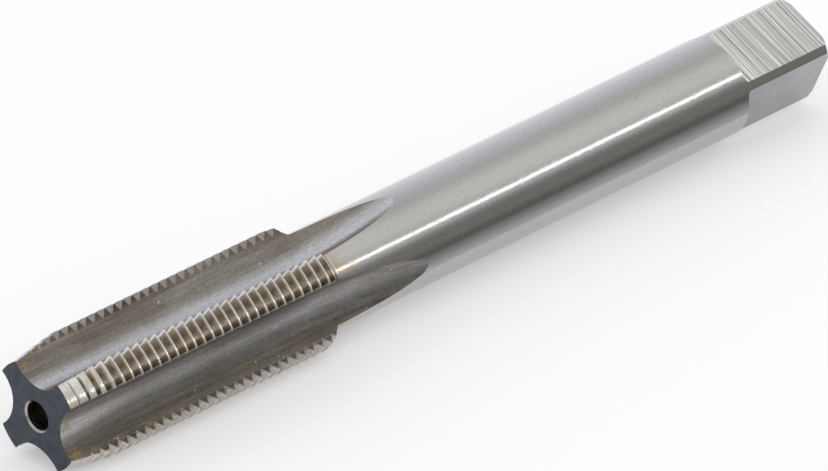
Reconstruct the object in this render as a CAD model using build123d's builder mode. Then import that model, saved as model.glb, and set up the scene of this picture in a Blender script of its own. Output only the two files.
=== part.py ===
from build123d import *

import os
from math import radians, tan

# A straight-fluted hand tap, M14 x 1.25, ground from one bar of tool steel.
# Millimetres. The axis is +X, from the cutting end (x = 0) to the driving square.
# The tap lies on two of its four lands, so the lands stand at 45 degrees to +Z.

# Thread and bar
THREAD_DIAMETER = 14.0
PITCH = 1.25
THREAD_LENGTH = 36.4           # with the tapered lead, up to the step
LEAD_THREADS = 5               # threads on the tapered lead
POINT_DIAMETER = 12.0          # front end of the lead
SHANK_DIAMETER = 11.2
STEP_CROWN_RADIUS = 0.4        # where the thread's end turns down
STEP_FOOT_RADIUS = 0.8         # where it meets the shank
OVERALL_LENGTH = 110.75
END_CHAMFER_LENGTH = 0.5
END_CHAMFER_DEPTH = 0.58
END_CROWN_RADIUS = 1.5         # the chamfer is slightly crowned

# Thread form: a 60 degree vee with a narrow flat at its crest and root
FLANK_ANGLE = 30.0
CREST_FLAT = PITCH / 8
ROOT_FLAT = PITCH / 8
THREAD_DEPTH = (PITCH - CREST_FLAT - ROOT_FLAT) / 2 / tan(radians(FLANK_ANGLE))
CREST_CLEARANCE = 0.08         # how far the thread cutter stands out of the crest
GROOVE_ARC = 44.0              # degrees that the cutter sweeps on each land

# Flutes
FLUTE_COUNT = 4
WEB_RADIUS = 3.5               # core left between opposite flutes
FLUTE_OFFSET = 0.4             # deepest line, shifted towards the cutting face
FACE_RADIUS = 3.35             # hooked side of the flute, the cutting face
HEEL_RADIUS = 4.5              # open side of the flute, behind the next land
WHEEL_RADIUS = 98.0            # grinding wheel that leaves the run-out
WHEEL_LIFT_ANGLE = 15.0
RUN_OUT_END = 50.0             # where the flute's floor comes out of the shank

# Driving square
SQUARE_SIDES = 4
SQUARE_START = 98.0
ACROSS_FLATS = 8.6
SQUARE_TURN = 23.7             # turn of the square from the lands' quarter marks
SHOULDER_RADIUS = 0.5          # left by the mill at the foot of each flat

# Centre holes that the tap is ground between
FRONT_HOLE_DIAMETER = 3.2
FRONT_HOLE_DEPTH = 7.0
FRONT_HOLE_CHAMFER = 0.2
REAR_PILOT_DIAMETER = 2.5
REAR_PILOT_DEPTH = 6.0
REAR_CONE_DIAMETER = 5.3
CENTRE_ANGLE = 60.0
DRILL_POINT_ANGLE = 118.0

# Worked out from the above
THREAD_RADIUS = THREAD_DIAMETER / 2
SHANK_RADIUS = SHANK_DIAMETER / 2
STEP_LENGTH = THREAD_RADIUS - SHANK_RADIUS
LEAD_LENGTH = LEAD_THREADS * PITCH
FLUTE_STEP = 360 / FLUTE_COUNT
SIDE_STEP = 360 / SQUARE_SIDES
LAND_ANGLE = FLUTE_STEP / 2    # of a land from the flute above the axis
CLEAR = 3.0                    # how far cutters and stock reach past the tap


def cone_depth(diameter, angle):
    """Depth of a cone of this base diameter and full angle."""
    return diameter / 2 / tan(radians(angle / 2))


# The thread groove where it crosses one land: a short arc of the helix, centred
# above the axis at x = 0 and ending in the flutes on both sides
root_radius = THREAD_RADIUS - THREAD_DEPTH
arc_rise = PITCH * GROOVE_ARC / 360

with BuildPart() as land_groove:
    with BuildLine() as helix:
        Helix(PITCH, arc_rise, root_radius, center=(-arc_rise / 2, 0, 0), direction=(1, 0, 0))
    with BuildSketch(Plane(origin=helix.line @ 0, x_dir=(1, 0, 0), z_dir=(0, -1, 0))):
        cutter_depth = THREAD_DEPTH + CREST_CLEARANCE
        half_root = ROOT_FLAT / 2
        half_mouth = half_root + cutter_depth * tan(radians(FLANK_ANGLE))
        Polygon(
            (-half_root, 0),
            (half_root, 0),
            (half_mouth, cutter_depth),
            (-half_mouth, cutter_depth),
            align=None,
        )
    sweep(path=helix.line, is_frenet=True)

# Its places: turn by turn along each land, each land a quarter pitch further on
groove_places = []
for land in range(FLUTE_COUNT):
    land_angle = LAND_ANGLE + land * FLUTE_STEP
    land_start = land * PITCH / FLUTE_COUNT
    for turn in range(int((THREAD_LENGTH + STEP_LENGTH) / PITCH) + 1):
        place = (land_start + turn * PITCH, 0, 0)
        groove_places.append(Location(place, (land_angle - GROOVE_ARC / 2, 0, 0)))

# One flute above the axis: straight as far as the grinding wheel's contact line,
# then lifted out of the steel on the wheel's own radius
wheel_rise = SHANK_RADIUS - WEB_RADIUS
run_out_length = (WHEEL_RADIUS**2 - (WHEEL_RADIUS - wheel_rise) ** 2) ** 0.5
contact = RUN_OUT_END - run_out_length
floor_line = (WEB_RADIUS, FLUTE_OFFSET)
face_side = (WEB_RADIUS + FACE_RADIUS, FLUTE_OFFSET + FACE_RADIUS)
heel_side = (WEB_RADIUS + HEEL_RADIUS, FLUTE_OFFSET - HEEL_RADIUS)
flute_mouth = THREAD_RADIUS + CLEAR

with BuildPart() as flute:
    with BuildSketch(Plane(origin=(contact, 0, 0), x_dir=(0, 0, 1), z_dir=(1, 0, 0))):
        with BuildLine():
            TangentArc(floor_line, face_side, tangent=(0, 1))
            TangentArc(floor_line, heel_side, tangent=(0, -1))
            Polyline(
                heel_side,
                (flute_mouth, heel_side[1]),
                (flute_mouth, face_side[1]),
                face_side,
            )
        make_face()
    extrude(amount=-(contact + 2 * CLEAR))
    wheel_side = faces().sort_by(Axis.X)[-1]
    wheel_axis = Axis((contact, 0, WEB_RADIUS + WHEEL_RADIUS), (0, 1, 0))
    revolve(wheel_side, axis=wheel_axis, revolution_arc=-WHEEL_LIFT_ANGLE)

# The turned outline: lead, threaded length, step, shank and end chamfer. It
# stands clear of the crests, which the bar's own surface makes
crest_stock = THREAD_RADIUS + CREST_CLEARANCE

with BuildPart() as turned_outline:
    with BuildSketch(Plane.XY):
        lead_slope = (THREAD_DIAMETER - POINT_DIAMETER) / 2 / LEAD_LENGTH
        with BuildLine():
            end_crown = RadiusArc(
                (OVERALL_LENGTH - END_CHAMFER_LENGTH, SHANK_RADIUS),
                (OVERALL_LENGTH, SHANK_RADIUS - END_CHAMFER_DEPTH),
                END_CROWN_RADIUS,
            )
            Polyline(
                end_crown @ 1,
                (OVERALL_LENGTH, 0),
                (0, 0),
                (0, POINT_DIAMETER / 2),
                (LEAD_LENGTH + CREST_CLEARANCE / lead_slope, crest_stock),
                (THREAD_LENGTH - CREST_CLEARANCE, crest_stock),
                (THREAD_LENGTH + STEP_LENGTH, SHANK_RADIUS),
                end_crown @ 0,
            )
        make_face()
        step_corners = vertices().filter_by_position(
            Axis.X, THREAD_LENGTH - CREST_CLEARANCE, THREAD_LENGTH + STEP_LENGTH
        ).sort_by(Axis.X)
        fillet(step_corners[0], STEP_CROWN_RADIUS)
        fillet(step_corners[1], STEP_FOOT_RADIUS)
    revolve(axis=Axis.X)

# One flat of the driving square, as a mill with a rounded corner leaves it
with BuildPart() as flat_cut:
    with BuildSketch(Plane.XZ) as flat_profile:
        with Locations((SQUARE_START, ACROSS_FLATS / 2)):
            Rectangle(
                OVERALL_LENGTH - SQUARE_START + CLEAR,
                THREAD_RADIUS,
                align=(Align.MIN, Align.MIN),
            )
        foot = flat_profile.vertices().group_by(Axis.X)[0].sort_by(Axis.Y)[0]
        fillet(foot, SHOULDER_RADIUS)
    extrude(amount=THREAD_RADIUS, both=True)

# The centre holes: a plain drilled one in front, a 60 degree centre at the back
with BuildPart() as front_hole:
    with BuildSketch(Plane.XY):
        hole_radius = FRONT_HOLE_DIAMETER / 2
        Polygon(
            (0, 0),
            (0, hole_radius + FRONT_HOLE_CHAMFER),
            (FRONT_HOLE_CHAMFER, hole_radius),
            (FRONT_HOLE_DEPTH, hole_radius),
            (FRONT_HOLE_DEPTH + cone_depth(FRONT_HOLE_DIAMETER, DRILL_POINT_ANGLE), 0),
            align=None,
        )
    revolve(axis=Axis.X)

with BuildPart() as rear_centre:
    with BuildSketch(Plane.XY):
        pilot_radius = REAR_PILOT_DIAMETER / 2
        cone_end = cone_depth(REAR_CONE_DIAMETER - REAR_PILOT_DIAMETER, CENTRE_ANGLE)
        pilot_tip = REAR_PILOT_DEPTH + cone_depth(REAR_PILOT_DIAMETER, DRILL_POINT_ANGLE)
        Polygon(
            (OVERALL_LENGTH, 0),
            (OVERALL_LENGTH, REAR_CONE_DIAMETER / 2),
            (OVERALL_LENGTH - cone_end, pilot_radius),
            (OVERALL_LENGTH - REAR_PILOT_DEPTH, pilot_radius),
            (OVERALL_LENGTH - pilot_tip, 0),
            align=None,
        )
    revolve(axis=Axis.X)

# The tap: thread and flutes are cut in a plain bar, the outline is turned, the
# flats are milled and the centres drilled
with BuildPart() as hand_tap:
    with BuildSketch(Plane.YZ.offset(-CLEAR)):
        Circle(THREAD_RADIUS)
    extrude(amount=OVERALL_LENGTH + 2 * CLEAR)
    for number in range(FLUTE_COUNT):
        add(flute.part, rotation=(number * FLUTE_STEP, 0, 0), mode=Mode.SUBTRACT)
    with Locations(*groove_places):
        add(land_groove.part, mode=Mode.SUBTRACT)
    add(turned_outline.part, mode=Mode.INTERSECT)
    for number in range(SQUARE_SIDES):
        turn = SQUARE_TURN + number * SIDE_STEP
        add(flat_cut.part, rotation=(turn, 0, 0), mode=Mode.SUBTRACT)
    add(front_hole.part, mode=Mode.SUBTRACT)
    add(rear_centre.part, mode=Mode.SUBTRACT)

hand_tap.part.label = "hand_tap"

os.makedirs("parts", exist_ok=True)
export_step(hand_tap.part, "parts/hand_tap.step")
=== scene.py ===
import math
import random

import bmesh
import bpy
from mathutils import Matrix, Vector


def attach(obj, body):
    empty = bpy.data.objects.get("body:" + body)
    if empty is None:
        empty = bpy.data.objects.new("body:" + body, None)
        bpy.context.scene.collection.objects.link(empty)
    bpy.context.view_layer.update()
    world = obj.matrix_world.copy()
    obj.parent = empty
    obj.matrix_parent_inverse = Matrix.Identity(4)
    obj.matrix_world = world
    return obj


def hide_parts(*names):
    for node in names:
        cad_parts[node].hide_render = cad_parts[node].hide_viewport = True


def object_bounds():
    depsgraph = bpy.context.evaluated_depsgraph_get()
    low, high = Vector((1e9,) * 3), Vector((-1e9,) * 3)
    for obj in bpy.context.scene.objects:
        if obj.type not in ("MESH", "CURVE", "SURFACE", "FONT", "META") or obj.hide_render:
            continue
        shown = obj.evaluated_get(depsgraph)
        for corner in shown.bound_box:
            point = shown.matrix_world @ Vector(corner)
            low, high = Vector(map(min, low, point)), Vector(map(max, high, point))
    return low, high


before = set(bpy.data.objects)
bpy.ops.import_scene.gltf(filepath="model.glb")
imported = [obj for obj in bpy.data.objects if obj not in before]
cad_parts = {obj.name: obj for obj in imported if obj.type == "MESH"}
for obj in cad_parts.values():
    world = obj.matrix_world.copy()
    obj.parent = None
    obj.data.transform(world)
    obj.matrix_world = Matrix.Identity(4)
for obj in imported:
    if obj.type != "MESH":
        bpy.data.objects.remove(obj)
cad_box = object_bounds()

# A straight-fluted hand tap. Lengths in this file are millimetres until a mesh is
# written. The axis is +X; an angle `a` runs round it from -Y towards +Z, so the
# lands stand at 45, 135, 225 and 315 degrees and the flutes at 0, 90, 180, 270.

MM = 0.001

# Thread, step and bar. The groove is a vee with a sharper root than the solid's
THREAD_R = 7.0
ROOT_R = 6.07
HALF_ROOT = 0.01
PITCH = 1.25
FLANK_TAN = math.tan(math.radians(30))
POINT_R = 6.0
LEAD = 6.25
THREAD_END = 36.4
SHANK_R = 5.6
STEP_END = 38.2
STEP_CROWN_R = 0.4
STEP_FOOT_R = 0.8
LENGTH = 110.75
CHAMFER_LENGTH = 0.5
CHAMFER_DEPTH = 0.58
CROWN_R = 1.5
CROWN_START = LENGTH - CHAMFER_LENGTH

# Flutes: two arcs in section, and the grinding wheel that lifts them out of the shank
WEB_R = 3.5
FLUTE_V = 0.4
FACE_ARC = 3.35
HEEL_ARC = 4.5
WHEEL_R = 98.0
RUN_OUT_END = 50.0
CONTACT = RUN_OUT_END - math.sqrt(WHEEL_R ** 2 - (WHEEL_R - (SHANK_R - WEB_R)) ** 2)

# Driving square: its start, half its width, its rounded shoulder and its turn
SQUARE_X = 98.0
FLAT_D = 4.3
SHOULDER_R = 0.5
SQUARE_A = 90.0 - 23.7

# Centre holes
FRONT_HOLE_R = 1.6
FRONT_HOLE_DEPTH = 7.0
FRONT_RIM_R = 1.8
REAR_PILOT_R = 1.25
REAR_CONE_R = 2.65
REAR_DEPTH = 6.0
POINT_TAN = math.tan(math.radians(59))

# Small differences between teeth, as lowest and highest: how far a crest is worn
# down, and how far a cutting edge and a heel are blunted
CREST_WEAR = (0.0, 0.015)
FACE_WEAR = (0.03, 0.09)
HEEL_WEAR = (0.01, 0.035)

# The front face's broken edge: how far it reaches back and inwards
FRONT_EDGE_X = 0.06
FRONT_EDGE_INSET = 0.05

# Where the rings stand within one pitch: from a groove's root over a crest to the next
PHASES = [0.0, 0.09, 0.22, 0.35, 0.475, 0.547, 0.625, 0.703, 0.775, 0.90, 1.03, 1.16]

# Where the thread's rings start and how far before the step's end they stop; over
# which length they turn from standing square to the axis to following the helix
FIRST_RING_X = 0.08
LAST_RING_GAP = 0.1
SLANT_START = 0.2
SLANT_LENGTH = 0.6

# Where the other rings stand along the shank and the square
PLAIN_START = 50.8
SHANK_RINGS = [*range(54, 98, 4), 97.0, SQUARE_X]
SQUARE_RINGS = [99.5, 101.5, 103.5, 105.5, 107.5, 109.0, CROWN_START]
RUN_OUT_PARTS = 40
SHOULDER_PARTS = 8
CROWN_PARTS = 8

# Divisions round a ring, for each land and for the parts of each flute
STATIONS = len(PHASES)
LAND_PARTS = 20
FACE_PARTS = 7
HEEL_PARTS = 9
TIP_PARTS = 2
RING_PARTS = LAND_PARTS + FACE_PARTS + HEEL_PARTS + 2 * TIP_PARTS

# A flute's tips begin at TIP_R, and are at least the last 3% of its arcs. The radius
# of an edge is read from the thread at these degrees from the middle of its land
TIP_R = 6.03
TIP_SHARE = 0.97
HEEL_REACH = 13.8
FACE_REACH = 13.7

# Divisions round the square, for each flat and corner, and round a hole
FLAT_PARTS = 14
CORNER_PARTS = 8
SIDE_PARTS = FLAT_PARTS + CORNER_PARTS
HOLE_PARTS = 64

# Clean-up of the mesh, in metres, and the angle in degrees from which an edge is sharp
MERGE_DISTANCE = 2e-7
DISSOLVE_DISTANCE = 1e-8
SHARP_ANGLE = 28

RANDOM = random.Random(14125)

# How bright the steel is painted, dark at 0 and bright from about 1, across each land (place 0
# at its heel, 1 at its cutting edge) and across each flute (place in degrees round its arcs,
# from its deepest line towards the cutting face). This is painted light and shade: each land
# and flute has its own profile for how it faces the light, with painted shade, lighter towards
# most cutting edges and a painted highlight along the first land's cutting edge
LAND_PAINTED_LIGHT = [
    [(0.0, 0.12), (0.2, 0.30), (0.3, 0.75), (0.42, 0.70), (0.6, 0.44), (0.8, 0.62),
     (0.92, 0.80), (1.0, 1.60)],
    [(0.0, 0.30), (0.8, 0.40), (1.0, 0.9)],
    [(0.0, 0.3), (0.4, 0.5), (0.8, 0.6), (1.0, 1.2)],
    [(0.0, 0.8), (1.0, 0.9)],
]
# Painted light across the flutes: a painted bright band near the floor and painted shade up the
# sides; the side flutes also carry a painted dark band
OPEN_FLUTE_PAINTED_LIGHT = [(-58, 0.12), (-52, 0.22), (-46, 0.30), (-28, 0.33), (-22, 0.43), (-16, 0.65),
              (-10, 0.86), (-4, 0.96), (2, 1.04), (8, 0.90), (14, 0.60), (26, 0.30), (56, 0.25)]
SIDE_FLUTE_PAINTED_LIGHT = [(-46, 0.30), (-34, 0.45), (-28, 0.55), (-16, 0.56), (-10, 0.65), (8, 0.65),
              (14, 0.60), (20, 0.59), (26, 0.49), (32, 0.26), (38, 0.09), (44, 0.10),
              (50, 0.18), (56, 0.22)]
FLUTE_PAINTED_LIGHT = [OPEN_FLUTE_PAINTED_LIGHT, OPEN_FLUTE_PAINTED_LIGHT, SIDE_FLUTE_PAINTED_LIGHT, SIDE_FLUTE_PAINTED_LIGHT]

# Painted light on the crests of the lead: what is added to each land's painted brightness
# there, less and less up to LEAD_TONE_END. A point counts as on a crest from this depth, where
# 1 is the outline
LEAD_PAINTED_LIGHT = [0.35, 0.10, 0.20, -0.10]
LEAD_TONE_END = 9.0
CREST_DEPTH = 0.9

# Zones of the surface, in the order of the material slots
GROUND, THREAD, FLUTE, SHANK, FLAT, SMOOTH, BORE, REAR = range(8)


# ---------------------------------------------------------------- the tap's form

def outline(x):
    """Radius of the turned outline at x."""
    if x < LEAD:
        return POINT_R + (THREAD_R - POINT_R) * x / LEAD
    if x < CROWN_START:
        return step_radius(x)
    centre_x, centre_r = crown_centre()
    return centre_r + math.sqrt(CROWN_R ** 2 - (x - centre_x) ** 2)


def crown_centre():
    """Centre of the crowned end chamfer's arc: its x and its distance from the axis."""
    chord = math.hypot(CHAMFER_LENGTH, CHAMFER_DEPTH)
    reach = math.sqrt(CROWN_R ** 2 - (chord / 2) ** 2) / chord
    return (CROWN_START + CHAMFER_LENGTH / 2 - reach * CHAMFER_DEPTH,
            SHANK_R - CHAMFER_DEPTH / 2 - reach * CHAMFER_LENGTH)


def step_radius(x):
    """Radius where the thread steps down to the shank: a 45 degree slope, rounded."""
    part, turn = math.tan(math.radians(22.5)), math.sin(math.radians(45))
    crown_x = THREAD_END - STEP_CROWN_R * part
    foot_x = THREAD_END + THREAD_R - SHANK_R + STEP_FOOT_R * part
    if x <= crown_x:
        return THREAD_R
    if x < crown_x + STEP_CROWN_R * turn:
        return THREAD_R - STEP_CROWN_R + math.sqrt(STEP_CROWN_R ** 2 - (x - crown_x) ** 2)
    if x < foot_x - STEP_FOOT_R * turn:
        return THREAD_R - (x - THREAD_END)
    if x < foot_x:
        return SHANK_R + STEP_FOOT_R - math.sqrt(STEP_FOOT_R ** 2 - (x - foot_x) ** 2)
    return SHANK_R


def thread_radius(x, a):
    """Radius of the thread form at x and angle a, before the outline cuts it."""
    turn = x + PITCH * (a - 45.0) / 360.0
    away = abs((turn + PITCH / 2) % PITCH - PITCH / 2)
    return min(ROOT_R + max(away - HALF_ROOT, 0.0) / FLANK_TAN, THREAD_R)


def tone_at(stops, place):
    """Value at a place of a list of (place, value), straight between them."""
    if place <= stops[0][0]:
        return stops[0][1]
    for (low, value_low), (high, value_high) in zip(stops, stops[1:]):
        if place <= high:
            return value_low + (value_high - value_low) * (place - low) / (high - low)
    return stops[-1][1]


def flute_point(t, x):
    """A point of the flute: t > 0 on the cutting face's side, t < 0 on the heel's."""
    if t >= 0:
        u = WEB_R + FACE_ARC * (1 - math.cos(t))
        v = FLUTE_V + FACE_ARC * math.sin(t)
    else:
        u = WEB_R + HEEL_ARC * (1 - math.cos(t))
        v = FLUTE_V + HEEL_ARC * math.sin(t)
    if x > CONTACT:
        hub = WEB_R + WHEEL_R
        u = hub - math.sqrt((hub - u) ** 2 - (x - CONTACT) ** 2)
    return u, v


def flute_edge(radius, x, side):
    """The t at which the flute meets a circle of this radius."""
    low, high = 0.0, math.radians(88)
    for _ in range(30):
        mid = (low + high) / 2
        u, v = flute_point(side * mid, x)
        if math.hypot(u, v) < radius:
            low = mid
        else:
            high = mid
    return side * low


FACE_TIP_T = flute_edge(TIP_R, 0.0, 1)
HEEL_TIP_T = flute_edge(TIP_R, 0.0, -1)


def station(index, land):
    """Where ring `index` crosses the middle of a land: it follows the thread."""
    quarter = index + land * STATIONS // 4
    return PITCH * (quarter // STATIONS) - land * PITCH / 4 + PHASES[quarter % STATIONS]


class Wear:
    """Small differences between teeth: crest height, and how blunt each edge is."""

    def __init__(self):
        self.teeth = {}

    def tooth(self, land, x):
        key = (land, round((x + land * PITCH / 4) / PITCH))
        if key not in self.teeth:
            self.teeth[key] = (RANDOM.uniform(*CREST_WEAR), RANDOM.uniform(*FACE_WEAR),
                               RANDOM.uniform(*HEEL_WEAR))
        return self.teeth[key]

    def crest(self, land, x):
        return self.tooth(land, x)[0]

    def edge(self, land, x, side):
        return self.tooth(land, x)[1 if side > 0 else 2]


class Skin:
    """Vertices with what the materials need to know of them, and faces by zone."""

    def __init__(self):
        self.points = []
        self.depth = []
        self.tone = []
        self.faces = []
        self.zones = []

    def add(self, x, y, z, depth=1.0, tone=0.5):
        self.points.append((x * MM, y * MM, z * MM))
        self.depth.append(depth)
        self.tone.append(tone)
        return len(self.points) - 1

    def polar(self, x, r, a, depth=1.0, tone=0.5):
        angle = math.radians(a)
        return self.add(x, -r * math.cos(angle), r * math.sin(angle), depth, tone)

    def face(self, corners, zone):
        self.faces.append(corners)
        self.zones.append(zone)

    def band(self, ring_a, ring_b, zone_of):
        count = len(ring_a)
        for i in range(count):
            j = (i + 1) % count
            self.face((ring_a[i], ring_a[j], ring_b[j], ring_b[i]), zone_of(i))

    def zip(self, ring_a, angles_a, ring_b, angles_b, zone):
        """Join two closed rings whose points stand at different angles."""
        count_a, count_b = len(ring_a), len(ring_b)
        i = j = 0
        while i < count_a or j < count_b:
            next_a = angles_a[i + 1] if i + 1 < count_a else angles_a[0] + 360
            next_b = angles_b[j + 1] if j + 1 < count_b else angles_b[0] + 360
            if j >= count_b or (i < count_a and next_a <= next_b):
                self.face((ring_a[i % count_a], ring_a[(i + 1) % count_a],
                           ring_b[j % count_b]), zone)
                i += 1
            else:
                self.face((ring_a[i % count_a], ring_b[(j + 1) % count_b],
                           ring_b[j % count_b]), zone)
                j += 1


def land_edge(land, middle_x, fade, side, threaded, wear):
    """A land's heel (side -1) or cutting edge (side 1): x, radius, angle and flute t."""
    middle = 45.0 + 90.0 * land
    a = middle + side * (FACE_REACH if side > 0 else HEEL_REACH)
    x = middle_x - fade * PITCH * (a - middle) / 360.0
    r = outline(x)
    if threaded:
        r = min(r, thread_radius(x, a)) - wear.edge(land, x, side)
    t = flute_edge(r, x, side)
    u, v = flute_point(t, x)
    return x, r, middle + side * 45.0 - math.degrees(math.atan2(v, u)), t


def land_points(skin, land, middle_x, fade, heel, face, threaded, wear):
    """The ring's points across one land, from its heel to its cutting edge."""
    middle = 45.0 + 90.0 * land
    made = []
    for k in range(LAND_PARTS + 1):
        s = k / LAND_PARTS
        a = heel[2] + (face[2] - heel[2]) * s
        x = middle_x - fade * PITCH * (a - middle) / 360.0
        if k == 0:
            r = heel[1]
        elif k == LAND_PARTS:
            r = face[1]
        elif threaded:
            r = min(outline(x), thread_radius(x, a))
        else:
            r = outline(x)
        depth = 1 - (outline(x) - r) / (THREAD_R - ROOT_R)
        if threaded and 0 < k < LAND_PARTS:
            r -= wear.crest(land, x) * max(depth, 0.0)
        # Painted light: the land's painted shade and highlights, and the lead crests' painted
        # light
        tone = tone_at(LAND_PAINTED_LIGHT[land], s)
        if depth > CREST_DEPTH:
            tone += LEAD_PAINTED_LIGHT[land] * max(0.0, 1 - x / LEAD_TONE_END)
        made.append(skin.polar(x, r, a, depth, tone))
    return made


def flute_points(skin, land, face, heel):
    """The ring's points across the flute from a cutting face to the next land's heel."""
    face_x, face_t, heel_x, heel_t = face[0], face[3], heel[0], heel[3]
    face_tip = min(FACE_TIP_T, TIP_SHARE * face_t)
    heel_tip = max(HEEL_TIP_T, TIP_SHARE * heel_t)
    steps = [face_t + (face_tip - face_t) * k / TIP_PARTS for k in range(1, TIP_PARTS + 1)]
    steps += [face_tip * (1 - k / FACE_PARTS) for k in range(1, FACE_PARTS + 1)]
    steps += [heel_tip * k / HEEL_PARTS for k in range(1, HEEL_PARTS + 1)]
    steps += [heel_tip + (heel_t - heel_tip) * k / TIP_PARTS for k in range(1, TIP_PARTS)]
    spin = math.radians(90.0 + 90.0 * land)
    made = []
    for number, t in enumerate(steps):
        share = (number + 1) / (len(steps) + 1)
        x = face_x + (heel_x - face_x) * share
        u, v = flute_point(t, x)
        y = -u * math.cos(spin) - v * math.sin(spin)
        z = u * math.sin(spin) - v * math.cos(spin)
        # Painted light: the flute's painted bright band and painted shade
        tone = tone_at(FLUTE_PAINTED_LIGHT[land], math.degrees(t))
        made.append(skin.add(x, y, z, 0.0, tone))
    return made


def fluted_ring(skin, places, threaded, wear):
    """One ring of four lands and four flutes. places: x on each land's middle."""
    fades, heels, faces = [], [], []
    for land in range(4):
        fade = 0.0
        if threaded:
            fade = min(max((places[land] - SLANT_START) / SLANT_LENGTH, 0.0), 1.0)
        fades.append(fade)
        heels.append(land_edge(land, places[land], fade, -1, threaded, wear))
        faces.append(land_edge(land, places[land], fade, 1, threaded, wear))
    ring = []
    for land in range(4):
        ring += land_points(skin, land, places[land], fades[land], heels[land], faces[land],
                            threaded, wear)
        ring += flute_points(skin, land, faces[land], heels[(land + 1) % 4])
    return ring


def fluted_zone(index):
    return THREAD if index % RING_PARTS < LAND_PARTS else FLUTE


def shank_zone(index):
    return SHANK if fluted_zone(index) == THREAD else FLUTE


def inset(skin, ring, x, distance):
    """A copy of a ring at x, moved inwards in its plane."""
    flat = [Vector(skin.points[i]) / MM for i in ring]
    made = []
    for i, here in enumerate(flat):
        along = flat[(i + 1) % len(flat)] - flat[i - 1]
        inward = Vector((0, -along.z, along.y)).normalized()
        place = here + inward * distance
        made.append(skin.add(x, place.y, place.z))
    return made


def square_ring(skin, x, flat_d, radius, arc_half=None):
    """A ring of four flats at distance flat_d and the round corners between."""
    if arc_half is None:
        arc_half = math.degrees(math.acos(min(flat_d / radius, 1.0)))
    ring, angles = [], []
    for side in range(4):
        middle = SQUARE_A + 90.0 * side
        for k in range(FLAT_PARTS + 1):
            phi = (2 * k / FLAT_PARTS - 1) * arc_half
            r = min(radius, flat_d / math.cos(math.radians(phi)))
            ring.append(skin.polar(x, r, middle + phi))
            angles.append(middle + phi)
        for k in range(1, CORNER_PARTS):
            phi = arc_half + (90.0 - 2 * arc_half) * k / CORNER_PARTS
            ring.append(skin.polar(x, radius, middle + phi))
            angles.append(middle + phi)
    return ring, angles


def square_zone(index):
    if index % SIDE_PARTS >= FLAT_PARTS:
        return SHANK
    return FLAT if (index // SIDE_PARTS) % 2 == 0 else SMOOTH


def crown_zone(index):
    zone = square_zone(index)
    return REAR if zone == SHANK else zone


def circle(skin, x, r):
    """A ring of a hole, and its points' angles."""
    angles = [360.0 * k / HOLE_PARTS for k in range(HOLE_PARTS)]
    return [skin.polar(x, r, a) for a in angles], angles


def by_angle(ring, angles):
    """A ring and its angles, put in order of the angle from 0 to 360."""
    order = sorted(range(len(ring)), key=lambda i: angles[i] % 360)
    return [ring[i] for i in order], [angles[i] % 360 for i in order]


def cutting_end(skin):
    """Front face, threaded length, step and flute run-outs. Gives the first and last ring."""
    wear = Wear()
    nose = fluted_ring(skin, [FRONT_EDGE_X] * 4, False, wear)
    rim = inset(skin, nose, 0.0, FRONT_EDGE_INSET)
    skin.band(rim, nose, lambda i: GROUND)
    last = nose
    index = 1
    while station(index, 0) < STEP_END - LAST_RING_GAP:
        places = [min(max(station(index, land), FIRST_RING_X), STEP_END)
                  for land in range(4)]
        ring = fluted_ring(skin, places, True, wear)
        skin.band(last, ring, fluted_zone)
        last = ring
        index += 1
    for k in range(RUN_OUT_PARTS + 1):
        s = 1 - k / RUN_OUT_PARTS
        x = RUN_OUT_END - (RUN_OUT_END - STEP_END) * s ** 2
        ring = fluted_ring(skin, [x] * 4, False, wear)
        skin.band(last, ring, shank_zone)
        last = ring
    return rim, last


def driving_end(skin, last):
    """Shank, square and crowned end, joined to the last ring of the run-outs."""
    angles = []
    for i in last:
        x, y, z = skin.points[i]
        angles.append(math.degrees(math.atan2(z, -y)))
    shoulder_half = math.degrees(math.acos((FLAT_D + SHOULDER_R) / SHANK_R))
    start, start_angles = square_ring(skin, PLAIN_START, SHANK_R, SHANK_R, shoulder_half)
    skin.zip(*by_angle(last, angles), *by_angle(start, start_angles), SHANK)
    last = start
    for x in SHANK_RINGS:
        ring, _ = square_ring(skin, x, SHANK_R, SHANK_R, shoulder_half)
        skin.band(last, ring, lambda i: SHANK)
        last = ring
    for k in range(SHOULDER_PARTS + 1):
        turn = math.radians(90 * k / SHOULDER_PARTS)
        x = SQUARE_X + SHOULDER_R * (1 - math.cos(turn))
        flat_d = FLAT_D + SHOULDER_R * (1 - math.sin(turn))
        ring, _ = square_ring(skin, x, flat_d, SHANK_R)
        skin.band(last, ring, square_zone)
        last = ring
    for x in SQUARE_RINGS:
        ring, _ = square_ring(skin, x, FLAT_D, SHANK_R)
        skin.band(last, ring, square_zone)
        last = ring
    for k in range(1, CROWN_PARTS + 1):
        x = CROWN_START + (LENGTH - CROWN_START) * k / CROWN_PARTS
        ring, angles = square_ring(skin, x, FLAT_D, outline(x))
        skin.band(last, ring, crown_zone)
        last = ring
    return last, angles


def hole(skin, last, rings, tip_x):
    """The wall and the pointed end of a drilled hole, from its mouth's ring inwards."""
    for x, r in rings:
        ring, _ = circle(skin, x, r)
        skin.band(last, ring, lambda i: BORE)
        last = ring
    tip = skin.add(tip_x, 0, 0)
    for i in range(HOLE_PARTS):
        skin.face((last[i], last[(i + 1) % HOLE_PARTS], tip), BORE)


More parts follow.
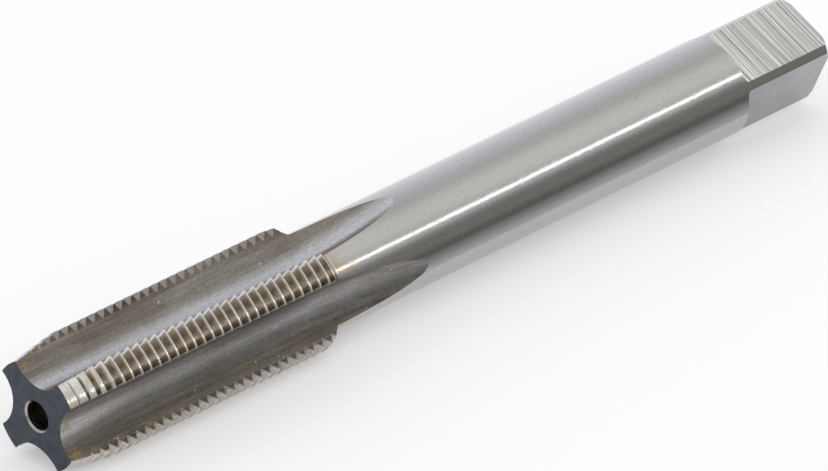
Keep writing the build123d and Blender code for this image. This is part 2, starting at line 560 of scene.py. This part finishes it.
def build_skin():
    """The whole surface, but for the front face between its rim and the hole's mouth."""
    skin = Skin()
    rim, last = cutting_end(skin)
    last, angles = driving_end(skin, last)
    cone, cone_angles = circle(skin, LENGTH, REAR_CONE_R)
    skin.zip(*by_angle(last, angles), cone, cone_angles, REAR)
    cone_end = (REAR_CONE_R - REAR_PILOT_R) / FLANK_TAN
    hole(skin, cone, [(LENGTH - cone_end, REAR_PILOT_R), (LENGTH - REAR_DEPTH, REAR_PILOT_R)],
         LENGTH - REAR_DEPTH - REAR_PILOT_R / POINT_TAN)
    mouth, _ = circle(skin, 0.0, FRONT_RIM_R)
    rim_end = FRONT_RIM_R - FRONT_HOLE_R
    hole(skin, mouth, [(rim_end, FRONT_HOLE_R), (FRONT_HOLE_DEPTH / 2, FRONT_HOLE_R),
                       (FRONT_HOLE_DEPTH, FRONT_HOLE_R)],
         FRONT_HOLE_DEPTH + FRONT_HOLE_R / POINT_TAN)
    return skin, rim, mouth


def fill_front(work, rim, mouth):
    """The front face, between its rim and the mouth of the hole."""
    work.verts.ensure_lookup_table()
    ends = []
    for loop in (rim, mouth):
        for i, here in enumerate(loop):
            there = loop[(i + 1) % len(loop)]
            ends.append(work.edges.get((work.verts[here], work.verts[there])))
    filled = bmesh.ops.triangle_fill(work, use_beauty=True, edges=ends)
    for item in filled["geom"]:
        if isinstance(item, bmesh.types.BMFace):
            item.material_index = GROUND


def make_tap(materials):
    """The tap as one mesh, with its zones, attributes, sharp edges and materials."""
    skin, rim, mouth = build_skin()
    mesh = bpy.data.meshes.new("tap")
    mesh.from_pydata(skin.points, [], skin.faces)
    for polygon, zone in zip(mesh.polygons, skin.zones):
        polygon.material_index = zone
    for name, values in (("depth", skin.depth), ("tone", skin.tone)):
        layer = mesh.attributes.new(name, "FLOAT", "POINT")
        layer.data.foreach_set("value", values)
    work = bmesh.new()
    work.from_mesh(mesh)
    fill_front(work, rim, mouth)
    bmesh.ops.remove_doubles(work, verts=work.verts, dist=MERGE_DISTANCE)
    bmesh.ops.dissolve_degenerate(work, dist=DISSOLVE_DISTANCE, edges=work.edges)
    bmesh.ops.recalc_face_normals(work, faces=work.faces)
    work.to_mesh(mesh)
    work.free()
    for polygon in mesh.polygons:
        polygon.use_smooth = True
    mesh.set_sharp_from_angle(angle=math.radians(SHARP_ANGLE))
    for material in materials:
        mesh.materials.append(material)
    tap = bpy.data.objects.new("tap", mesh)
    bpy.context.scene.collection.objects.link(tap)
    return tap


# ---------------------------------------------------------------- materials

BUMP_HEIGHT = 0.00002   # in metres, at full strength


class Nodes:
    """Short names for making and joining shader nodes."""

    def __init__(self, tree):
        self.tree = tree
        tree.nodes.clear()

    def new(self, kind, inputs=(), **settings):
        """A node. inputs: for each input, the output it is joined to, or its value."""
        node = self.tree.nodes.new(kind)
        for key, value in settings.items():
            setattr(node, key, value)
        for key, value in dict(inputs).items():
            if isinstance(value, bpy.types.NodeSocket):
                self.tree.links.new(value, node.inputs[key])
            else:
                node.inputs[key].default_value = value
        return node

    def math(self, operation, a, b):
        return self.new("ShaderNodeMath", {0: a, 1: b}, operation=operation).outputs[0]

    def ramp(self, value, stops):
        """A colour ramp over value. stops: (place, colour or grey level)."""
        node = self.new("ShaderNodeValToRGB", {0: value})
        elements = node.color_ramp.elements
        while len(elements) < len(stops):
            elements.new(0.5)
        for element, (place, colour) in zip(elements, stops):
            element.position = place
            if not isinstance(colour, tuple):
                colour = (colour, colour, colour)
            element.color = (*colour, 1.0)
        return node.outputs[0]

    def mix(self, factor, a, b, blend="MIX"):
        """Colour a turned into b by factor, or multiplied by it. 6 and 7 take colours."""
        a, b = ((*colour, 1.0) if isinstance(colour, tuple) else colour for colour in (a, b))
        return self.new("ShaderNodeMix", {0: factor, 6: a, 7: b},
                        data_type="RGBA", blend_type=blend).outputs[2]

    def place(self):
        """The point's place in the object's own space, in metres."""
        return self.new("ShaderNodeTexCoord").outputs["Object"]

    def coordinate(self, axis):
        """The point's X, Y or Z in the object's own space, in metres."""
        return self.new("ShaderNodeSeparateXYZ", {"Vector": self.place()}).outputs[axis]

    def noise(self, scale, stretch=(1, 1, 1), detail=3.0, roughness=0.55):
        """Noise in the object's own space; stretch is the scale along x, y and z."""
        mapping = self.new("ShaderNodeMapping", {"Vector": self.place(), "Scale": stretch})
        return self.new("ShaderNodeTexNoise", {
            "Vector": mapping.outputs[0], "Scale": scale, "Detail": detail,
            "Roughness": roughness}).outputs[0]

    def swing(self, noise, height):
        """Noise about 0.5 turned into a value about 0, times height."""
        return self.math("MULTIPLY", self.math("SUBTRACT", noise, 0.5), height)

    def attribute(self, name):
        return self.new("ShaderNodeAttribute", attribute_name=name).outputs["Fac"]

    def finish(self, shader, kind="ShaderNodeOutputMaterial"):
        self.new(kind, {0: shader.outputs[0]})


def new_material(name):
    material = bpy.data.materials.new(name)
    material.use_nodes = True
    return material, Nodes(material.node_tree)


def steel(name, colour_of, roughness_of, bump_of=None, strength=0.0):
    """A metal whose colour, roughness and bump come from the given node makers."""
    material, n = new_material(name)
    inputs = {"Base Color": colour_of(n), "Metallic": 1.0, "Roughness": roughness_of(n)}
    if bump_of is not None:
        bump = n.new("ShaderNodeBump", {
            "Height": bump_of(n), "Strength": strength, "Distance": BUMP_HEIGHT})
        inputs["Normal"] = bump.outputs[0]
    n.finish(n.new("ShaderNodeBsdfPrincipled", inputs))
    return material


def ground_steel():
    """The front face: dark, blue-grey, finely ground."""
    def colour(n):
        mottle = n.noise(900, detail=4)
        return n.ramp(mottle, [(0.3, (0.050, 0.056, 0.070)), (0.7, (0.075, 0.083, 0.100))])

    def rough(n):
        return n.ramp(n.noise(2000, (1, 0.2, 1)), [(0.3, 0.34), (0.7, 0.46)])

    def bump(n):
        return n.noise(2500, (1, 0.15, 1), 2)

    return steel("ground_front", colour, rough, bump, 0.15)


def thread_steel():
    """Lands: bright crests and painted highlights on the edges, grooves painted dark brown as
    shade, painted light and shade across each land, a cool painted reflection behind the axis,
    a little stain.
    """
    def colour(n):
        grain = n.noise(2600, detail=3, roughness=0.6)
        stain = n.noise(420, detail=4, roughness=0.6)
        # The mesh's painted light and shade, jittered by grain
        tone = n.math("ADD", n.math("MULTIPLY", n.attribute("tone"), 0.6),
                      n.swing(grain, 0.45))
        # Painted shade: the grooves are coloured darker and browner than the crests; the
        # near-white top of the ramp is a painted highlight on the cutting edges
        groove = n.ramp(tone, [(0.0, (0.16, 0.14, 0.11)), (0.3, (0.36, 0.315, 0.26)),
                               (0.6, (0.60, 0.575, 0.54)), (0.96, (0.95, 0.95, 0.96))])
        groove = n.mix(n.ramp(stain, [(0.52, 0.0), (0.72, 0.5)]), groove, (0.34, 0.25, 0.15))
        crest = n.ramp(tone, [(0.0, (0.38, 0.365, 0.34)), (0.3, (0.55, 0.535, 0.51)),
                              (0.6, (0.76, 0.75, 0.72))])
        crest = n.mix(n.ramp(stain, [(0.42, 0.0), (0.60, 0.6)]), crest, (0.50, 0.47, 0.38))
        both = n.mix(n.ramp(n.attribute("depth"), [(0.90, 0.0), (0.99, 1.0)]), groove, crest)
        # Painted reflection: the lands behind the axis are tinted cool
        painted_cool_reflection = n.math("GREATER_THAN", n.coordinate("Y"), 0.0)
        return n.mix(painted_cool_reflection, both, (0.88, 0.93, 1.0), "MULTIPLY")

    def rough(n):
        return n.ramp(n.noise(1800), [(0.3, 0.14), (0.7, 0.24)])

    def bump(n):
        return n.noise(4500)

    return steel("thread_lands", colour, rough, bump, 0.25)


def flute_steel():
    """Flutes: a painted bright band along the floor, painted brown shade on the sides, with
    lengthwise streaks.
    """
    def colour(n):
        streak = n.noise(1, (90, 3000, 3000), 4, 0.65)
        patch = n.noise(160, (0.5, 1, 1), 4, 0.6)
        speck = n.noise(1500, (0.6, 1, 1), 2, 0.5)
        # The mesh's painted bright band and shade, jittered by streaks and patches
        tone = n.math("ADD", n.attribute("tone"), n.swing(streak, 0.45))
        tone = n.math("ADD", tone, n.swing(patch, 0.45))
        base = n.ramp(tone, [(0.0, (0.070, 0.062, 0.048)), (0.25, (0.165, 0.146, 0.124)),
                             (0.5, (0.30, 0.282, 0.262)), (0.95, (0.60, 0.59, 0.60))])
        base = n.mix(n.ramp(speck, [(0.71, 0.0), (0.76, 0.8)]), base, (0.66, 0.62, 0.57))
        grain = n.ramp(n.noise(3400, (0.7, 1, 1), 3, 0.7), [(0.3, 0.80), (0.7, 1.18)])
        base = n.mix(1.0, base, grain, "MULTIPLY")
        return rust_spots(n, base)

    def rough(n):
        return n.ramp(n.noise(1, (80, 1400, 1400), 3), [(0.3, 0.32), (0.7, 0.46)])

    def bump(n):
        return n.noise(1, (110, 2400, 2400), 4, 0.7)

    return steel("flutes", colour, rough, bump, 0.35)


RUST_SPOTS = [  # centre and radius in millimetres
    ((0.9, 2.5, 4.55), 1.1), ((0.8, -3.6, -0.1), 1.2), ((1.0, -5.0, -3.2), 1.5),
    ((3.4, -5.1, -3.3), 1.0), ((7.0, -5.2, -3.3), 0.9), ((11.0, -5.2, -3.3), 0.8),
]


def rust_spots(n, base):
    """Straw-coloured spots near the front edges, broken up by noise."""
    place = n.place()
    broken = n.noise(2300, detail=5, roughness=0.75)
    for centre, radius in RUST_SPOTS:
        middle = tuple(c * MM for c in centre)
        away = n.new("ShaderNodeVectorMath", {0: place, 1: middle},
                     operation="DISTANCE").outputs["Value"]
        near = n.math("SUBTRACT", 1.0, n.math("DIVIDE", away, radius * MM))
        near = n.math("ADD", near, n.swing(broken, 3.0))
        base = n.mix(n.ramp(near, [(0.35, 0.0), (1.1, 0.7)]), base, (0.33, 0.235, 0.115))
    return base


def shank_steel():
    """Shank: bright, ground round, with a fine grain and a few dark pits."""
    def colour(n):
        fine = n.noise(5200, detail=3, roughness=0.7)
        patch = n.noise(110, (0.6, 1, 1), 3)
        pit = n.noise(2100, detail=2)
        base = n.ramp(fine, [(0.3, (0.47, 0.465, 0.455)), (0.7, (0.545, 0.54, 0.53))])
        base = n.mix(n.ramp(patch, [(0.45, 0.0), (0.7, 0.35)]), base, (0.47, 0.455, 0.435))
        base = n.mix(n.ramp(pit, [(0.71, 0.0), (0.75, 0.75)]), base, (0.16, 0.15, 0.14))
        return heat_tint(n, base)

    def rough(n):
        return n.ramp(n.noise(1, (900, 900, 900), 3), [(0.3, 0.11), (0.7, 0.17)])

    def bump(n):
        return n.noise(5200, detail=3, roughness=0.7)

    return steel("shank", colour, rough, bump, 0.36)


def heat_tint(n, base):
    """A straw and brown tint on the shank just behind the end of the thread."""
    tint_end, tint_length = 42.5 * MM, 4.5 * MM
    close = n.math("DIVIDE", n.math("SUBTRACT", tint_end, n.coordinate("X")), tint_length)
    blotch = n.swing(n.noise(600, detail=4, roughness=0.65), 2.2)
    return n.mix(n.ramp(n.math("ADD", close, blotch), [(0.55, 0.0), (1.3, 0.55)]),
                 base, (0.48, 0.33, 0.18))


def flat_steel():
    """Two of the square's flats: straight milling marks across."""
    marks = (3700, 25, 25)

    def colour(n):
        lines = n.noise(1, marks, 3, 0.75)
        grain = n.noise(4000, detail=3, roughness=0.7)
        base = n.ramp(lines, [(0.38, (0.26, 0.255, 0.245)), (0.45, (0.56, 0.555, 0.54)),
                              (0.54, (0.68, 0.675, 0.66)), (0.59, (0.98, 0.975, 0.96))])
        return n.mix(n.ramp(grain, [(0.4, 0.0), (0.7, 0.25)]), base, (0.50, 0.49, 0.47))

    def rough(n):
        return n.ramp(n.noise(1, marks, 3), [(0.3, 0.24), (0.7, 0.36)])

    def bump(n):
        return n.noise(1, marks, 3, 0.75)

    return steel("milled_flats", colour, rough, bump, 0.22)


def smooth_flat_steel():
    """The square's other two flats, ground smooth."""
    def colour(n):
        cloud = n.noise(250, detail=4, roughness=0.6)
        return n.ramp(cloud, [(0.3, (0.36, 0.36, 0.375)), (0.7, (0.42, 0.42, 0.435))])

    def rough(n):
        return n.ramp(n.noise(1, (300, 2500, 2500), 3), [(0.3, 0.26), (0.7, 0.36)])

    def bump(n):
        return n.noise(1, (400, 3000, 3000), 3)

    return steel("smooth_flats", colour, rough, bump, 0.08)


def bore_steel():
    """Inside the two centre holes: drilled, brownish."""
    def colour(n):
        return n.ramp(n.noise(900), [(0.3, (0.30, 0.27, 0.24)), (0.7, (0.46, 0.43, 0.40))])

    def rough(n):
        return n.ramp(n.noise(1, (2500, 200, 200)), [(0.3, 0.2), (0.7, 0.35)])

    return steel("bores", colour, rough)


def rear_steel():
    """The end of the square and its crowned chamfer."""
    def colour(n):
        return n.ramp(n.noise(900), [(0.3, (0.32, 0.315, 0.31)), (0.7, (0.44, 0.435, 0.43))])

    def rough(n):
        return n.ramp(n.noise(1200), [(0.3, 0.28), (0.7, 0.4)])

    return steel("rear_end", colour, rough)


# ---------------------------------------------------------------- studio

def add_sheet(name, corners):
    """A flat sheet of the studio, and the nodes of its material."""
    mesh = bpy.data.meshes.new(name)
    mesh.from_pydata([tuple(c * MM for c in corner) for corner in corners], [], [(0, 1, 2, 3)])
    sheet = bpy.data.objects.new(name, mesh)
    bpy.context.scene.collection.objects.link(sheet)
    material, n = new_material(name)
    mesh.materials.append(material)
    return sheet, n


def make_floor(level):
    """A pale floor; a little of its own light makes it white to the camera."""
    reach = 3000.0
    own_light = 0.30
    _, n = add_sheet("floor", [(-reach, -reach, level), (reach, -reach, level),
                               (reach, reach, level), (-reach, reach, level)])
    path = n.new("ShaderNodeLightPath")
    diffuse = n.new("ShaderNodeBsdfDiffuse", {"Color": (0.84, 0.84, 0.85, 1)})
    seen = n.math("ADD", path.outputs["Is Camera Ray"], path.outputs["Is Glossy Ray"])
    lift = n.new("ShaderNodeEmission", {
        "Color": (1, 1, 1, 1), "Strength": n.math("MULTIPLY", seen, own_light)})
    n.finish(n.new("ShaderNodeAddShader", {0: diffuse.outputs[0], 1: lift.outputs[0]}))


def make_card(name, corners, axis, span, stops):
    """A grey card that the steel mirrors; its shade changes along one axis."""
    card, n = add_sheet(name, corners)
    low, high = (v * MM for v in span)
    share = n.math("DIVIDE", n.math("SUBTRACT", n.coordinate(axis), low), high - low)
    n.finish(n.new("ShaderNodeEmission", {"Color": n.ramp(share, stops), "Strength": 1.0}))
    card.visible_camera = False
    card.visible_diffuse = False
    card.visible_shadow = False


def make_cards(level):
    """Grey cards in front of the tap, standing and lying, for the shank's dark band."""
    near, far, left, right = -8.4, -26.0, 14.0, 330.0
    top, low = 12.6, level + 0.15
    make_card("standing_card", [(left, far, level), (right, far, level),
                                (right, far, top), (left, far, top)],
              "Z", (level, top),
              [(0.0, (0.16, 0.16, 0.157)), (0.15, (0.19, 0.19, 0.185)),
               (0.35, (0.27, 0.27, 0.26)), (0.68, (0.27, 0.265, 0.25)),
               (0.88, (0.34, 0.35, 0.37)), (1.0, (0.44, 0.46, 0.50))])
    make_card("lying_card", [(left, far, low), (right, far, low),
                             (right, near, low), (left, near, low)],
              "Y", (far, near),
              [(0.0, (0.15, 0.15, 0.147)), (0.25, (0.17, 0.17, 0.167)),
               (0.49, (0.29, 0.29, 0.29)), (0.73, (0.39, 0.39, 0.39)),
               (0.89, (0.55, 0.55, 0.56)), (1.0, (0.62, 0.62, 0.635))])


def make_world():
    """Soft light from all round: warm in front, dimmer overhead, cooler behind."""
    world = bpy.data.worlds.new("studio")
    world.use_nodes = True
    n = Nodes(world.node_tree)
    towards = n.new("ShaderNodeTexCoord").outputs["Generated"]
    parts = n.new("ShaderNodeSeparateXYZ", {"Vector": towards})
    front = n.math("MULTIPLY", parts.outputs["Y"], -1.0)
    round_x = n.math("ARCTAN2", parts.outputs["Z"], front)
    share = n.math("DIVIDE", round_x, math.pi)
    soft = n.ramp(share, [
        (0.00, (0.50, 0.50, 0.49)), (0.22, (0.70, 0.69, 0.68)), (0.27, (0.80, 0.79, 0.775)),
        (0.34, (0.95, 0.94, 0.92)), (0.45, (0.93, 0.92, 0.89)), (0.56, (0.74, 0.73, 0.715)),
        (0.62, (0.69, 0.69, 0.70)), (0.68, (0.73, 0.735, 0.76)), (0.79, (0.85, 0.865, 0.93)),
        (0.90, (0.93, 0.955, 1.04)), (1.00, (1.02, 1.04, 1.09))])
    path = n.new("ShaderNodeLightPath")
    colour = n.mix(path.outputs["Is Camera Ray"], soft, (1.0, 1.0, 1.0))
    n.finish(n.new("ShaderNodeBackground", {"Color": colour, "Strength": 1.0}),
             "ShaderNodeOutputWorld")
    bpy.context.scene.world = world


def make_strip_lamp():
    """A narrow strip light, whose reflection runs along the shank as a bright line."""
    aim = Vector((0.055, 0.0, 0.0))
    distance = 0.6
    lamp = bpy.data.lights.new("strip", "AREA")
    lamp.shape = "RECTANGLE"
    lamp.size = 0.60
    lamp.size_y = 0.016
    lamp.energy = 0.19
    item = bpy.data.objects.new("strip", lamp)
    z_axis = Vector((0.60, -0.634, 0.488)).normalized()
    y_axis = z_axis.cross(Vector((1, 0, 0))).normalized()
    x_axis = y_axis.cross(z_axis).normalized()
    item.location = aim + z_axis * distance
    item.rotation_euler = Matrix((x_axis, y_axis, z_axis)).transposed().to_euler()
    bpy.context.scene.collection.objects.link(item)


def make_camera():
    """The camera, at the photograph's viewing angle."""
    elevation, azimuth = 30.228, -44.118
    camera = bpy.data.cameras.new("camera")
    camera.sensor_fit = "HORIZONTAL"
    camera.sensor_width = 36.0
    camera.lens = 441.2
    item = bpy.data.objects.new("camera", camera)
    item.location = (-0.586202, -0.659632, 0.535006)
    item.rotation_euler = (math.radians(90 - elevation), 0.0, math.radians(azimuth))
    bpy.context.scene.collection.objects.link(item)
    bpy.context.scene.camera = item


bpy.context.scene.view_settings.view_transform = "Standard"
tap = make_tap([ground_steel(), thread_steel(), flute_steel(), shank_steel(), flat_steel(),
                smooth_flat_steel(), bore_steel(), rear_steel()])
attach(tap, "root")
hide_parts("hand_tap")

floor_level = cad_box[0][2] / MM
make_floor(floor_level)
make_cards(floor_level)
make_world()
make_strip_lamp()
make_camera()
